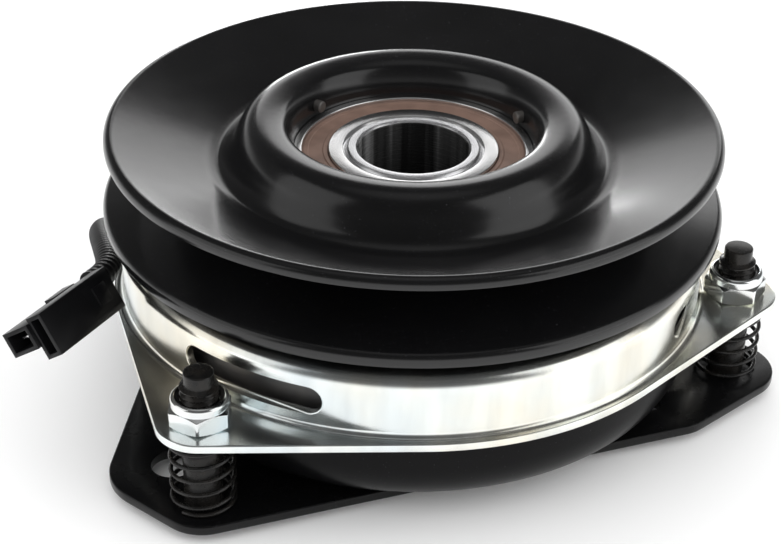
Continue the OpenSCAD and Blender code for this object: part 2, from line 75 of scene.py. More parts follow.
FLOOR_Z = low("adjusting_studs").z
UPPER_R = high("upper_sheave").x
LOWER_R = high("lower_sheave").x
CUP_R = high("pulley_bearing_outer_race").x
BEARING_TOP = high("pulley_bearing_outer_race").z
BEARING_BOTTOM = low("pulley_bearing_outer_race").z
SLEEVE_TOP = high("spacer_sleeve").z
BORE_R = 14.2875
SLEEVE_R = 17.5
SLEEVE_EDGE = 0.7
SHEET_T = 3.0
UPPER_SLOPE = math.radians(21)
LOWER_SLOPE = math.radians(16)
RIM_EDGE_R = 1.9
CONE_R = 54.5
CONE_Z = BEARING_TOP - 0.85
WEB_Z = 60.2
WEB_IN_R = 48.5
WEB_OUT_R = 55.5
PIN_R = 1.6
PIN_LEN = 3.4
PIN_RISE = 2.6
PIN_ANGLES = (30.5, 150.5, 270.5)
CROWN_Z = high("brake_plate").z
RIM_LOW = low("brake_plate").z
PLATE_T = 2.2
RIM_Z = RIM_LOW + PLATE_T
WALL_R = 76.3
EDGE_R = 78.8
CROWN_IN_R = 57.0
CORNER_R = 11.0
STUD_CIRCLE_R = 85.8
STUD_ANGLES = (0, 120, 240)
STUD_R = 4.75
STUD_TOP = high("adjusting_studs").z
NUT_TOP = high("adjusting_nuts").z
STUD_HEAD_R = 7.2
DOG_R = 3.7
THREAD_PITCH = 1.5875
NUT_FLATS = 14.3
NUT_HEX_H = 4.8
SPRING_D = 16.4
SPRING_WIRE_R = 0.55
SPRING_TURNS = 6.25
SHELL_R = high("field_shell").x
SHELL_TOP = high("field_shell").z
BACKING_LOW = low("backing_plate").z
BACKING_TOP = high("backing_plate").z
TUBE_R = 37.0
ANCHOR_AT = (-53.2, -61.4)
ANCHOR_R = 5.5
SMALL_HOLE_AT = (65.6, -20.8)
SMALL_HOLE_R = 2.4
WALL_SLOTS = ((-130, -100.5), (-25.5, 4), (102, 131.5))
SLOT_Z = 35.3
SLOT_H = 7.0

# ---- the lead's route, from the connector's back to the boot, the same points as in part.scad ----

LEAD_ROUTE = (
    (-77.1, -38.5, 41), (-75.5, -33.8, 40.7), (-75.2, -28.6, 40.1), (-76.6, -22.8, 39.2),
    (-78.6, -16.9, 37.8), (-80.7, -10.7, 36), (-82.9, -4.2, 33.9), (-84.9, 2.5, 31.3),
    (-86.4, 9, 28.4), (-87.4, 15.3, 25.4), (-87.2, 21.3, 22.1), (-85.3, 26.6, 18.8),
    (-81.5, 30.4, 15.9), (-76.6, 32.5, 14.1), (-71.5, 33.2, 13.5),
)
LEAD_D = 6.6
BOOT_DIR = Vector((0.985, 0.13, -0.11)).normalized()
BOOT_R = 3.6
BOOT_LEN = 17.0


# ---- mesh helpers ----

def arc(cx, cz, r, a0, a1, n):
    """Points along an arc, with angles in degrees."""
    turns = [math.radians(a0 + (a1 - a0) * i / n) for i in range(n + 1)]
    return [(cx + r * math.cos(a), cz + r * math.sin(a)) for a in turns]


def smooth_line(points, n):
    """A smooth curve through all the points, with n steps between neighbours."""
    p = np.array(points, float)
    q = np.vstack([2 * p[0] - p[1], p, 2 * p[-1] - p[-2]])
    t = (np.arange(n) / n)[:, None]
    out = []
    for a, b, c, d in zip(q, q[1:], q[2:], q[3:]):
        out.append(0.5 * (2 * b + (c - a) * t + (2 * a - 5 * b + 4 * c - d) * t ** 2
                          + (3 * b - a - 3 * c + d) * t ** 3))
    return np.vstack(out + [p[-1:]])


def rounded(points, radius, steps=4):
    """A closed outline with every corner rounded, by less where its sides are short."""
    out = []
    count = len(points)
    for i in range(count):
        here = np.array(points[i], float)
        back = np.array(points[i - 1], float) - here
        ahead = np.array(points[(i + 1) % count], float) - here
        lb, la = np.linalg.norm(back), np.linalg.norm(ahead)
        u, v = back / lb, ahead / la
        half = math.acos(max(-1, min(1, float(u @ v)))) / 2
        if half > math.radians(82):
            out.append(tuple(here))
            continue
        reach = min(radius / math.tan(half), 0.45 * lb, 0.45 * la)
        r = reach * math.tan(half)
        middle = here + (u + v) / np.linalg.norm(u + v) * (r / math.sin(half))
        start, end = here + u * reach - middle, here + v * reach - middle
        a0, a1 = math.atan2(start[1], start[0]), math.atan2(end[1], end[0])
        swing = (a1 - a0 + math.pi) % TURN - math.pi
        for k in range(steps + 1):
            a = a0 + swing * k / steps
            out.append((middle[0] + r * math.cos(a), middle[1] + r * math.sin(a)))
    return out


def mesh_from(name, vertices, faces, sharp=35):
    """A smooth-shaded mesh, with sharp edges where faces meet at more than that angle."""
    mesh = bpy.data.meshes.new(name)
    mesh.from_pydata([tuple(float(c) * MM for c in v) for v in vertices], [], faces)
    work = bmesh.new()
    work.from_mesh(mesh)
    bmesh.ops.remove_doubles(work, verts=work.verts, dist=1e-7)
    bmesh.ops.recalc_face_normals(work, faces=work.faces)
    work.to_mesh(mesh)
    work.free()
    mesh.shade_smooth()
    mesh.set_sharp_from_angle(angle=math.radians(sharp))
    return mesh


def loft(loops, ring=False):
    """Vertices and faces of a skin over equally long closed loops, capped at its ends unless it is a ring."""
    count, size = len(loops), len(loops[0])
    vertices = [p for loop in loops for p in loop]
    faces = []
    for i in range(count if ring else count - 1):
        j = (i + 1) % count
        for k in range(size):
            m = (k + 1) % size
            faces.append((i * size + k, i * size + m, j * size + m, j * size + k))
    if not ring:
        faces.append(tuple(range(size - 1, -1, -1)))
        faces.append(tuple((count - 1) * size + k for k in range(size)))
    return vertices, faces


def around(rows, segments):
    """Loops round Z. A row is (radius, height), and either may be a function of the angle."""
    loops = []
    for r, z in rows:
        loop = []
        for k in range(segments):
            a = TURN * k / segments
            radius = r(a) if callable(r) else r
            height = z(a) if callable(z) else z
            loop.append((radius * math.cos(a), radius * math.sin(a), height))
        loops.append(loop)
    return loops


def turned(name, profile, segments=256, sharp=35):
    """A closed profile turned about Z."""
    return mesh_from(name, *loft(around(profile, segments), ring=True), sharp=sharp)


def tube_loops(path, radius, sides, closed_ends=True):
    """Loops of a tube along points, which turns no more than its path does. Radius may be a list."""
    path = np.array(path, float)
    radii = radius if hasattr(radius, "__len__") else [radius] * len(path)
    tangents = np.gradient(path, axis=0)
    tangents /= np.linalg.norm(tangents, axis=1)[:, None]
    side = np.cross(tangents[0], (0.31, 0.17, 0.94))
    loops = []
    for p, t, r in zip(path, tangents, radii):
        side = side - t * (side @ t)
        side /= np.linalg.norm(side)
        up = np.cross(t, side)
        turns = [TURN * k / sides for k in range(sides)]
        loops.append([tuple(p + r * (math.cos(a) * side + math.sin(a) * up)) for a in turns])
    if closed_ends:
        first, last = path[0], path[-1]
        loops.insert(0, [tuple(first + 0.7 * (np.array(v) - first)) for v in loops[0]])
        loops.append([tuple(last + 0.7 * (np.array(v) - last)) for v in loops[-1]])
    return loops


def joined(parts):
    """One list of vertices and one of faces from several."""
    vertices, faces = [], []
    for v, f in parts:
        base = len(vertices)
        vertices += list(v)
        faces += [tuple(base + i for i in face) for face in f]
    return vertices, faces


def placed(part, matrix):
    """The part's vertices moved by a matrix, in millimetres."""
    vertices, faces = part
    return [tuple(matrix @ Vector(v)) for v in vertices], faces


def stud_places():
    """A matrix for each stud: its place, turned to face outwards."""
    for angle in STUD_ANGLES:
        yield Matrix.Rotation(math.radians(angle), 4, "Z") @ Matrix.Translation((STUD_CIRCLE_R, 0, 0))


def cut(mesh, cutters, sharp=35):
    """The mesh less every cutter, each given as vertices and faces."""
    target = bpy.data.objects.new("target", mesh)
    bpy.context.scene.collection.objects.link(target)
    tool = bpy.data.objects.new("tool", mesh_from("tool", *joined(cutters)))
    bpy.context.scene.collection.objects.link(tool)
    modifier = target.modifiers.new("cut", "BOOLEAN")
    modifier.operation = "DIFFERENCE"
    modifier.solver = "EXACT"
    modifier.object = tool
    return baked(target, [tool], sharp)


def baked(target, spares, sharp):
    """The target's mesh with its modifiers applied. The target and the spare objects are removed."""
    view = bpy.context.evaluated_depsgraph_get()
    result = bpy.data.meshes.new_from_object(target.evaluated_get(view))
    for spare in [target, *spares]:
        bpy.data.objects.remove(spare)
    result.shade_smooth()
    result.set_sharp_from_angle(angle=math.radians(sharp))
    return result


def piece(name, mesh, material, body, slot, *nodes):
    """Adds a mesh as a piece that rides on a body, takes a finish and stands for CAD nodes."""
    thing = bpy.data.objects.new(name, mesh)
    bpy.context.scene.collection.objects.link(thing)
    mesh.materials.clear()
    mesh.materials.append(material)
    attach(thing, body)
    if nodes:
        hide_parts(*nodes)
    return thing


# ---- materials ----

class Paint:
    """A material with a Principled shader and short calls to add nodes."""

    def __init__(self, name, **constants):
        self.material = bpy.data.materials.new(name)
        self.material.use_nodes = True
        self.tree = self.material.node_tree
        self.shader = self.tree.nodes["Principled BSDF"]
        for socket, value in constants.items():
            self.shader.inputs[socket.replace("_", " ")].default_value = value
        self.place = self.tree.nodes.new("ShaderNodeTexCoord").outputs["Object"]

    def add(self, kind, inputs=None, **settings):
        node = self.tree.nodes.new(kind)
        for key, value in settings.items():
            setattr(node, key, value)
        for key, value in (inputs or {}).items():
            socket = node.inputs[key]
            if isinstance(value, bpy.types.NodeSocket):
                self.tree.links.new(value, socket)
            else:
                socket.default_value = value
        return node

    def stretched(self, scale):
        """Coordinates scaled by its own amount along each axis."""
        return self.add("ShaderNodeMapping", {"Vector": self.place, "Scale": scale}).outputs["Vector"]

    def wrapped(self, along, across):
        """Coordinates that run round the Z axis, so that a pattern follows a turned part."""
        parts = self.add("ShaderNodeSeparateXYZ", {"Vector": self.place})
        sides = {0: parts.outputs["Y"], 1: parts.outputs["X"]}
        angle = self.add("ShaderNodeMath", sides, operation="ARCTAN2")
        flat = self.add("ShaderNodeCombineXYZ", {"X": parts.outputs["X"], "Y": parts.outputs["Y"]})
        radius = self.add("ShaderNodeVectorMath", {0: flat.outputs[0]}, operation="LENGTH")
        turn = self.add("ShaderNodeMath", {0: angle.outputs[0], 1: along}, operation="MULTIPLY")
        out = self.add("ShaderNodeMath", {0: radius.outputs["Value"], 1: across}, operation="MULTIPLY")
        rise = self.add("ShaderNodeMath", {0: parts.outputs["Z"], 1: across}, operation="MULTIPLY")
        return self.add("ShaderNodeCombineXYZ", {
            "X": turn.outputs[0], "Y": out.outputs[0], "Z": rise.outputs[0]}).outputs[0]

    def noise(self, scale, detail=3.0, where=None):
        return self.add("ShaderNodeTexNoise", {
            "Vector": where or self.place, "Scale": scale, "Detail": detail}).outputs["Fac"]

    def ramp(self, value, stops):
        """Maps a value through (position, colour or grey) stops."""
        node = self.add("ShaderNodeValToRGB", {"Fac": value})
        band = node.color_ramp
        while len(band.elements) < len(stops):
            band.elements.new(0.5)
        for element, (position, colour) in zip(band.elements, stops):
            element.position = position
            grey = (colour, colour, colour) if isinstance(colour, (int, float)) else colour
            element.color = (*grey, 1)
        return node.outputs["Color"]

    def mixed(self, factor, first, second, blend="MIX"):
        node = self.add("ShaderNodeMix", data_type="RGBA", blend_type=blend)
        sockets = (node.inputs[0], node.inputs[6], node.inputs[7])
        for socket, value in zip(sockets, (factor, first, second)):
            if isinstance(value, bpy.types.NodeSocket):
                self.tree.links.new(value, socket)
            elif socket == node.inputs[0]:
                socket.default_value = value
            else:
                socket.default_value = (*value, 1)
        return node.outputs[2]

    def spread(self, value, lowest, highest):
        return self.add("ShaderNodeMapRange", {
            "Value": value, "To Min": lowest, "To Max": highest}).outputs["Result"]

    def colour(self, socket):
        self.tree.links.new(socket, self.shader.inputs["Base Color"])

    def rough(self, value, lowest, highest):
        self.tree.links.new(self.spread(value, lowest, highest), self.shader.inputs["Roughness"])

    def bumps(self, *layers):
        """Stacks (height, strength, distance in millimetres) layers of bump."""
        normal = None
        for height, strength, distance in layers:
            inputs = {"Height": height, "Strength": strength, "Distance": distance * MM}
            if normal is not None:
                inputs["Normal"] = normal
            normal = self.add("ShaderNodeBump", inputs).outputs["Normal"]
        self.tree.links.new(normal, self.shader.inputs["Normal"])


def coated_black(name, tone, rough_low, rough_high, shine, coat):
    """Black coat on pressed steel: a slight orange peel, soft haze and a little dust."""
    p = Paint(name, Coat_Weight=coat, Coat_Roughness=0.15, Specular_IOR_Level=shine)
    haze = p.noise(38, 4)
    dust = p.ramp(p.noise(2600, 1), [(0.0, 0), (0.74, 0), (0.78, 1)])
    base = p.ramp(haze, [(0.3, (tone, tone, tone * 1.08)), (0.75, (tone * 1.7, tone * 1.7, tone * 1.85))])
    p.colour(p.mixed(dust, base, (0.05, 0.05, 0.055)))
    p.rough(p.noise(120, 5), rough_low, rough_high)
    p.bumps((p.noise(420, 2), 0.12, 0.12), (p.noise(2300, 2), 0.08, 0.03))
    return p.material


def zinc(name, tint, rough_low, rough_high, streak):
    """Bright zinc plate: cloudy rolled metal with fine draw lines and a faint yellow and blue cast."""
    p = Paint(name, Metallic=1.0)
    cloud = p.noise(26, 4)
    cast = p.ramp(cloud, [(0.32, (0.80, 0.88, 0.92)), (0.5, tint), (0.66, (0.95, 0.91, 0.79))])
    drawn = p.noise(1.0, 5, p.wrapped(11, 30))
    stain = p.ramp(drawn, [(0.30, 0.84), (0.62, 1.0)])
    p.colour(p.mixed(1.0, cast, stain, "MULTIPLY"))
    lines = p.noise(1.0, 4, p.wrapped(260, 60))
    p.rough(p.noise(70, 6), rough_low, rough_high)
    p.bumps((lines, streak, 0.03), (p.noise(900, 3), 0.10, 0.02))
    return p.material


def ground_steel(name, tone, rough_low, rough_high, rings):
    """Ground steel, with the fine rings that turning and grinding leave."""
    p = Paint(name, Metallic=1.0, Anisotropic=0.35)
    cloud = p.noise(60, 4)
    lighter = (tone * 1.15, tone * 1.14, tone * 1.12)
    p.colour(p.ramp(cloud, [(0.3, (tone, tone, tone * 1.02)), (0.7, lighter)]))
    lines = p.noise(1.0, 3, p.wrapped(3, 5200))
    p.rough(lines, rough_low, rough_high)
    p.bumps((lines, rings, 0.012))
    return p.material


def bored_steel(name, tone, bore_r):
    """Ground steel whose bore has painted shade: a dark colour, streaked along its length with painted
    reflections.
    """
    p = Paint(name, Anisotropic=0.35)
    parts = p.add("ShaderNodeSeparateXYZ", {"Vector": p.place})
    flat = p.add("ShaderNodeCombineXYZ", {"X": parts.outputs["X"], "Y": parts.outputs["Y"]})
    radius = p.add("ShaderNodeVectorMath", {0: flat.outputs[0]}, operation="LENGTH").outputs["Value"]
    outside = p.add("ShaderNodeMath", {0: radius, 1: bore_r * MM}, operation="GREATER_THAN").outputs[0]
    # The bore's dark colour is painted shade, and its lighter streaks are painted reflections. The bore is
    # also made less metallic so that this painted colour shows.
    painted_reflection_streaks = p.noise(1.0, 3, p.stretched((150, 150, 4)))
    painted_bore_shade = p.ramp(painted_reflection_streaks, [(0.40, 0.012), (0.52, 0.05), (0.62, 0.26), (0.70, 0.10)])
    p.colour(p.mixed(outside, painted_bore_shade, (tone, tone, tone * 1.02)))
    metal = p.spread(outside, 0.35, 1.0)
    p.tree.links.new(metal, p.shader.inputs["Metallic"])
    lines = p.noise(1.0, 3, p.wrapped(3, 5200))
    p.rough(lines, 0.18, 0.34)
    p.bumps((lines, 0.3, 0.012))
    return p.material


def dark_steel(name, tone):
    """Plain pressed or forged steel under a film of oil."""
    p = Paint(name, Metallic=0.9)
    lighter = (tone * 1.6, tone * 1.5, tone * 1.4)
    p.colour(p.ramp(p.noise(80, 5), [(0.3, (tone, tone, tone)), (0.7, lighter)]))
    p.rough(p.noise(200, 4), 0.35, 0.6)
    p.bumps((p.noise(700, 4), 0.2, 0.05))
    return p.material


def rubber(name, colour, rough_low, rough_high, grain):
    """Moulded rubber or plastic with a fine grain."""
    p = Paint(name, Specular_IOR_Level=0.25)
    lighter = tuple(min(1, c * 1.5) for c in colour)
    p.colour(p.ramp(p.noise(150, 5), [(0.3, colour), (0.75, lighter)]))
    p.rough(p.noise(260, 4), rough_low, rough_high)
    p.bumps((p.noise(1800, 3), grain, 0.04))
    return p.material


def black_oxide(name, tone, metal):
    """Blackened steel, a little brown where it is worn."""
    p = Paint(name, Metallic=metal, Specular_IOR_Level=0.45)
    worn = (tone * 2.6, tone * 2.3, tone * 2.0)
    p.colour(p.ramp(p.noise(300, 5), [(0.35, (tone, tone, tone)), (0.72, worn)]))
    p.rough(p.noise(500, 4), 0.16, 0.36)
    p.bumps((p.noise(1500, 4), 0.25, 0.03))
    return p.material


def friction_block(name):
    """Pressed friction composite with bright and dark grains."""
    p = Paint(name)
    grains = p.add("ShaderNodeTexVoronoi", {"Vector": p.place, "Scale": 1400.0}).outputs["Color"]
    p.colour(p.mixed(0.25, (0.16, 0.12, 0.09), grains))
    p.rough(p.noise(400, 4), 0.7, 0.95)
    p.bumps((p.noise(1200, 5), 0.4, 0.08))
    return p.material


def copper_turns(name):
    """Enamelled copper wire in layers."""
    p = Paint(name, Metallic=0.8)
    wave = p.add("ShaderNodeTexWave", {"Vector": p.place, "Scale": 900.0}, bands_direction="Z")
    p.colour(p.ramp(wave.outputs["Fac"], [(0.0, (0.22, 0.08, 0.03)), (1.0, (0.60, 0.27, 0.11))]))
    p.rough(p.noise(300, 3), 0.25, 0.4)
    p.bumps((wave.outputs["Fac"], 0.6, 0.25))
    return p.material


GLOSS_BLACK = coated_black("gloss_black", 0.0025, 0.17, 0.28, 0.42, 0.25)
SHELL_BLACK = coated_black("shell_black", 0.002, 0.24, 0.36, 0.10, 0.02)
SATIN_BLACK = coated_black("satin_black", 0.002, 0.20, 0.32, 0.25, 0.05)
ZINC_PLATE = zinc("zinc_plate", (0.91, 0.94, 0.91), 0.12, 0.32, 0.14)
ZINC_NUT = zinc("zinc_nut", (0.88, 0.90, 0.90), 0.10, 0.20, 0.02)
BRIGHT_STEEL = ground_steel("bright_steel", 0.86, 0.14, 0.28, 0.35)
POLISHED_STEEL = ground_steel("polished_steel", 0.75, 0.04, 0.08, 0.02)
DARK_STEEL = dark_steel("dark_steel", 0.14)
SEAL_BROWN = rubber("seal_brown", (0.145, 0.092, 0.072), 0.42, 0.62, 0.30)
BLACK_PLASTIC = rubber("black_plastic", (0.003, 0.003, 0.0035), 0.30, 0.45, 0.18)
BLACK_RUBBER = rubber("black_rubber", (0.003, 0.003, 0.0035), 0.38, 0.58, 0.30)
OXIDE = black_oxide("black_oxide", 0.010, 0.4)
SPRING_BLACK = black_oxide("spring_black", 0.006, 0.2)
FRICTION = friction_block("friction_material")
COPPER = copper_turns("copper")
TERMINAL = ground_steel("terminal_metal", 0.80, 0.16, 0.30, 0.05)
BORED_STEEL = bored_steel("bored_steel", 0.88, BORE_R + 0.2)

CAD_LOOKS = {
    "gloss_black": GLOSS_BLACK, "matt_black": SATIN_BLACK, "satin_black": SATIN_BLACK, "black_oxide": OXIDE,
    "zinc_plate": ZINC_PLATE, "zinc_hardware": ZINC_NUT, "bright_steel": BRIGHT_STEEL,
    "polished_steel": POLISHED_STEEL, "dark_steel": DARK_STEEL, "seal_rubber": SEAL_BROWN,
    "friction_material": FRICTION, "copper": COPPER, "terminal_brass": TERMINAL,
    "black_plastic": BLACK_PLASTIC, "black_rubber": BLACK_RUBBER,
}


def paint_cad_nodes():
    """Gives every CAD node the look of its material slot."""
    for part in frame["record"]["subparts"]:
        mesh = frame["nodes"][part["node"]].data
        mesh.materials.clear()
        mesh.materials.append(CAD_LOOKS[part["material_slot"]])
        mesh.shade_smooth()
        mesh.set_sharp_from_angle(angle=math.radians(30))


# ---- camera ----

def make_camera():
    """A long lens, 31 degrees above the horizon, with one stud five degrees off the picture's plane."""
    rise = math.radians(31.08)
    roll = math.radians(0.931)
    turn = math.radians(5.5)
    distance = 490.4
    aside, above = 5.941, 32.30
    right = Vector((math.cos(turn), math.sin(turn), 0))
    away = Vector((-math.sin(turn), math.cos(turn), 0))
    forward = away * math.cos(rise) - Vector((0, 0, math.sin(rise)))
    up = away * math.sin(rise) + Vector((0, 0, math.cos(rise)))
    across = math.cos(roll) * right + math.sin(roll) * up
    upward = -math.sin(roll) * right + math.cos(roll) * up
    place = Vector((0, 0, BEARING_TOP)) - distance * forward - aside * across - above * upward
    data = bpy.data.cameras.new("camera")
    data.lens = 87.6
    data.sensor_width = 36
    data.clip_start = 0.01
    camera = bpy.data.objects.new("camera", data)
    axes = Matrix((across, upward, -forward)).transposed().to_4x4()
    camera.matrix_world = Matrix.Translation(place * MM) @ axes
    bpy.context.scene.collection.objects.link(camera)
    bpy.context.scene.camera = camera


# ---- lead ----

def make_lead():
    """The sleeved lead, with the shallow ribs of its sleeve, and the boot where it enters the shell."""
    path = smooth_line(LEAD_ROUTE, 30)
    steps = np.linalg.norm(np.diff(path, axis=0), axis=1)
    run = np.concatenate([[0], np.cumsum(steps)])
    ribs = LEAD_D / 2 - 0.16 * (0.5 - 0.5 * np.cos(TURN * run / 1.9))
    mesh = mesh_from("lead", *loft(tube_loops(path, list(ribs), 28)))
    lead = piece("lead", mesh, BLACK_RUBBER, "field", "black_rubber", "lead_cable")
    make_connector()
    make_terminals()
    make_boot()


def make_boot():
    """The rubber boot from the lead's end into the shell, with shallow grooves where it begins."""
    start = np.array(LEAD_ROUTE[-1], float)
    way = np.array(BOOT_DIR)
    stations = np.linspace(0, 1, 33)
    path = [start + way * BOOT_LEN * s for s in stations]
    radii = [BOOT_R - (0.3 if 0.08 < s < 0.4 and int(s * 34) % 3 == 0 else 0) for s in stations]
    mesh = mesh_from("boot", *loft(tube_loops(path, radii, 36)))
    piece("boot", mesh, BLACK_RUBBER, "field", "black_rubber", "lead_boot")


# ---- connector ----

def connector_place():
    """The housing's placement. The lead leaves its back above the middle."""
    turn = Matrix.Rotation(math.radians(-109.3), 4, "Z")
    tilt = Matrix.Rotation(math.radians(-3.9), 4, "Y")
    roll = Matrix.Rotation(math.radians(33.6), 4, "X")
    return Matrix.Translation(LEAD_ROUTE[0]) @ turn @ tilt @ roll @ Matrix.Translation((0, 0, -2.9))


CONNECTOR_W = 13.1
CONNECTOR_H = 11.2
CONNECTOR_LEN = 28.0
CONNECTOR_BACK = 12.0
PORT_DEPTH = 11.0
PORT_WALL = 1.0
# Each port: low and high across, low and high up, front
PORTS = (
    (-CONNECTOR_W / 2, CONNECTOR_W / 2 - 4.7, -2.0, 4.4, CONNECTOR_LEN + 1),
    (CONNECTOR_W / 2 - 4.7, CONNECTOR_W / 2, -CONNECTOR_H / 2, CONNECTOR_H / 2, CONNECTOR_LEN),
)


def block(x0, x1, y0, y1, z0, z1):
    """Vertices and faces of a box."""
    loops = [[(x, y0, z0), (x, y1, z0), (x, y1, z1), (x, y0, z1)] for x in (x0, x1)]
    return loft(loops)


def boolean(mesh, others, operation):
    """The mesh joined with every other, or less every other, one after another."""
    target = bpy.data.objects.new("target", mesh)
    bpy.context.scene.collection.objects.link(target)
    tools = []
    for other in others:
        tool = bpy.data.objects.new("tool", mesh_from("tool", *other))
        bpy.context.scene.collection.objects.link(tool)
        modifier = target.modifiers.new("shape", "BOOLEAN")
        modifier.operation = operation
        modifier.solver = "EXACT"
        modifier.object = tool
        tools.append(tool)
    return baked(target, tools, 35)


def bevelled(mesh, width, segments=3):
    """The mesh with its corners rounded."""
    target = bpy.data.objects.new("target", mesh)
    bpy.context.scene.collection.objects.link(target)
    modifier = target.modifiers.new("round", "BEVEL")
    modifier.width = width * MM
    modifier.segments = segments
    modifier.limit_method = "ANGLE"
    modifier.angle_limit = math.radians(40)
    modifier.harden_normals = True
    return baked(target, [], 40)


def make_connector():
    """The two-way housing: a back block with a latch, and two hollow ports of different shapes."""
    half_w = CONNECTOR_W / 2
    mesh = mesh_from("connector", *block(0, CONNECTOR_BACK, -half_w, half_w, -3.6, 4.4))
    solids = [block(0.01, front, y0, y1, z0, z1) for y0, y1, z0, z1, front in PORTS]
    solids.append(block(3.2, 8.2, half_w - 1, half_w + 0.5, -2.1, 2.9))
    solids.append(block(6, 14, -3.4, 0.6, 3.4, 5.6))
    mesh = boolean(mesh, solids, "UNION")
    hollows = [
        block(front - PORT_DEPTH, front + 1,
              y0 + PORT_WALL, y1 - PORT_WALL, z0 + PORT_WALL, z1 - PORT_WALL)
        for y0, y1, z0, z1, front in PORTS
    ]
    mesh = bevelled(boolean(mesh, hollows, "DIFFERENCE"), 0.35)
    mesh.transform(at_mm(connector_place()))
    return piece("connector", mesh, BLACK_PLASTIC, "field", "black_plastic", "connector_housing")


def at_mm(matrix):
    """A placement in millimetres as one in metres."""
    out = matrix.copy()
    out.translation = matrix.translation * MM
    return out


def make_terminals():
    """Two blades, one lying and one standing, with tapered noses."""
    parts = []
    for i, (y0, y1, z0, z1, front) in enumerate(PORTS):
        y, z = (y0 + y1) / 2, (z0 + z1) / 2
        dy, dz = ((2.7, 0.4), (0.4, 3.15))[i]
        back, nose, tip = front - PORT_DEPTH, front - 4.2, front - 3.0
        loops = []
        for x, share in ((back, 1), (nose, 1), (tip, 0.72)):
            slim = 0.5 + share / 2
            a = dy * (share if dy > dz else slim)
            b = dz * (share if dz > dy else slim)
            loops.append([(x, y - a, z - b), (x, y + a, z - b), (x, y + a, z + b), (x, y - a, z + b)])
        parts.append(loft(loops))
    mesh = bevelled(mesh_from("terminals", *joined(parts)), 0.08, 2)
    mesh.transform(at_mm(connector_place()))
    return piece("terminals", mesh, TERMINAL, "field", "terminal_brass", "connector_terminals")


# ---- pulley ----

def make_upper_sheave():
    """The upper flange: a bearing cup in a raised hub, a straight cone and a rounded rim."""
    slope = math.tan(UPPER_SLOPE)
    drop = SHEET_T / math.cos(UPPER_SLOPE)
    rim_r = UPPER_R - RIM_EDGE_R * (1 + math.sin(UPPER_SLOPE))
    rim_z = CONE_Z + (rim_r - CONE_R) * slope
    edge_z = rim_z - RIM_EDGE_R * math.cos(UPPER_SLOPE)
    top = smooth_line([
        (CUP_R, BEARING_TOP + 0.6), (CUP_R + 0.4, BEARING_TOP + 3.5), (CUP_R + 1.6, BEARING_TOP + 6.7),
        (CUP_R + 3.2, BEARING_TOP + 8.3), (CUP_R + 6, BEARING_TOP + 9.1), (CUP_R + 9, BEARING_TOP + 9.2),
        (CUP_R + 11.5, BEARING_TOP + 8.2), (44.6, BEARING_TOP + 5.8), (46.3, BEARING_TOP + 2.5),
        (48, BEARING_TOP - 0.3), (50, BEARING_TOP - 1.8), (52.2, BEARING_TOP - 1.7), (CONE_R, CONE_Z),
    ], 10)
    rim = arc(UPPER_R - RIM_EDGE_R, edge_z, RIM_EDGE_R, 90 + math.degrees(UPPER_SLOPE), 0, 16)
    edge = [(UPPER_R, edge_z - 0.6), (UPPER_R - 0.1, edge_z - 0.85), (UPPER_R - 0.35, edge_z - 1)]
    flat_r = CONE_R + (WEB_Z + drop - CONE_Z) / slope
    inner = smooth_line([
        (WEB_IN_R + 1, WEB_Z), (46.5, 61.4), (44.9, 63.8), (43.3, 67), (41.6, 69.8), (39.2, 71.1),
        (37, 70.9), (35.1, 69.4), (CUP_R + SHEET_T, 66),
    ], 6)
    profile = [(CUP_R, BEARING_BOTTOM + 0.3), *map(tuple, top), *rim, *edge, (rim_r, rim_z - drop)]
    profile += [(flat_r, WEB_Z), *map(tuple, inner)]
    profile += [(CUP_R + SHEET_T, BEARING_BOTTOM), (CUP_R + 0.3, BEARING_BOTTOM)]
    mesh = turned("upper_flange", profile, 384)
    piece("upper_flange", mesh, GLOSS_BLACK, "pulley", "gloss_black", "upper_sheave")


def make_pins():
    """Three short pins in the wall of the cup, which hold the bearing down."""
    rows = [
        (0.02, 0), (PIN_R, 0), (PIN_R, PIN_LEN - 0.25), (PIN_R - 0.15, PIN_LEN - 0.07),
        (PIN_R - 0.4, PIN_LEN), (0.02, PIN_LEN),
    ]
    inwards = Matrix.Rotation(-math.pi / 2, 4, "Y")
    pins = []
    for angle in PIN_ANGLES:
        turn = Matrix.Rotation(math.radians(angle), 4, "Z")
        foot = Matrix.Translation((CUP_R + 1.8, 0, BEARING_TOP + PIN_RISE))
        pins.append(placed(loft(around(rows, 32)), turn @ foot @ inwards))
    piece("pins", mesh_from("pins", *joined(pins)), DARK_STEEL, "pulley", "gloss_black")


def make_lower_sheave():
    """The lower flange: a cone with a rounded rim over a sharp lower edge, and a flat web."""
    slope = math.tan(LOWER_SLOPE)
    drop = SHEET_T / math.cos(LOWER_SLOPE)
    rim_r = LOWER_R - RIM_EDGE_R * (1 - math.sin(LOWER_SLOPE))
    rim_z = WEB_Z - (rim_r - WEB_OUT_R) * slope
    edge_z = rim_z - RIM_EDGE_R * math.cos(LOWER_SLOPE)
    bottom_z = WEB_Z - (LOWER_R - WEB_OUT_R) * slope - drop
    profile = [(WEB_IN_R, WEB_Z - SHEET_T), (WEB_IN_R, WEB_Z)]
    profile += [(WEB_OUT_R - 1, WEB_Z), (WEB_OUT_R, WEB_Z - 0.1)]
    profile += arc(LOWER_R - RIM_EDGE_R, edge_z, RIM_EDGE_R, 90 - math.degrees(LOWER_SLOPE), 0, 16)
    profile += [(LOWER_R, bottom_z + 0.35), (LOWER_R - 0.1, bottom_z + 0.13)]
    profile += [(LOWER_R - 0.35, bottom_z + 0.05), (WEB_OUT_R - 0.5, WEB_Z - SHEET_T)]
    mesh = turned("lower_flange", profile, 384)
    piece("lower_flange", mesh, GLOSS_BLACK, "pulley", "gloss_black", "lower_sheave")


# ---- pulley bearing and sleeve ----

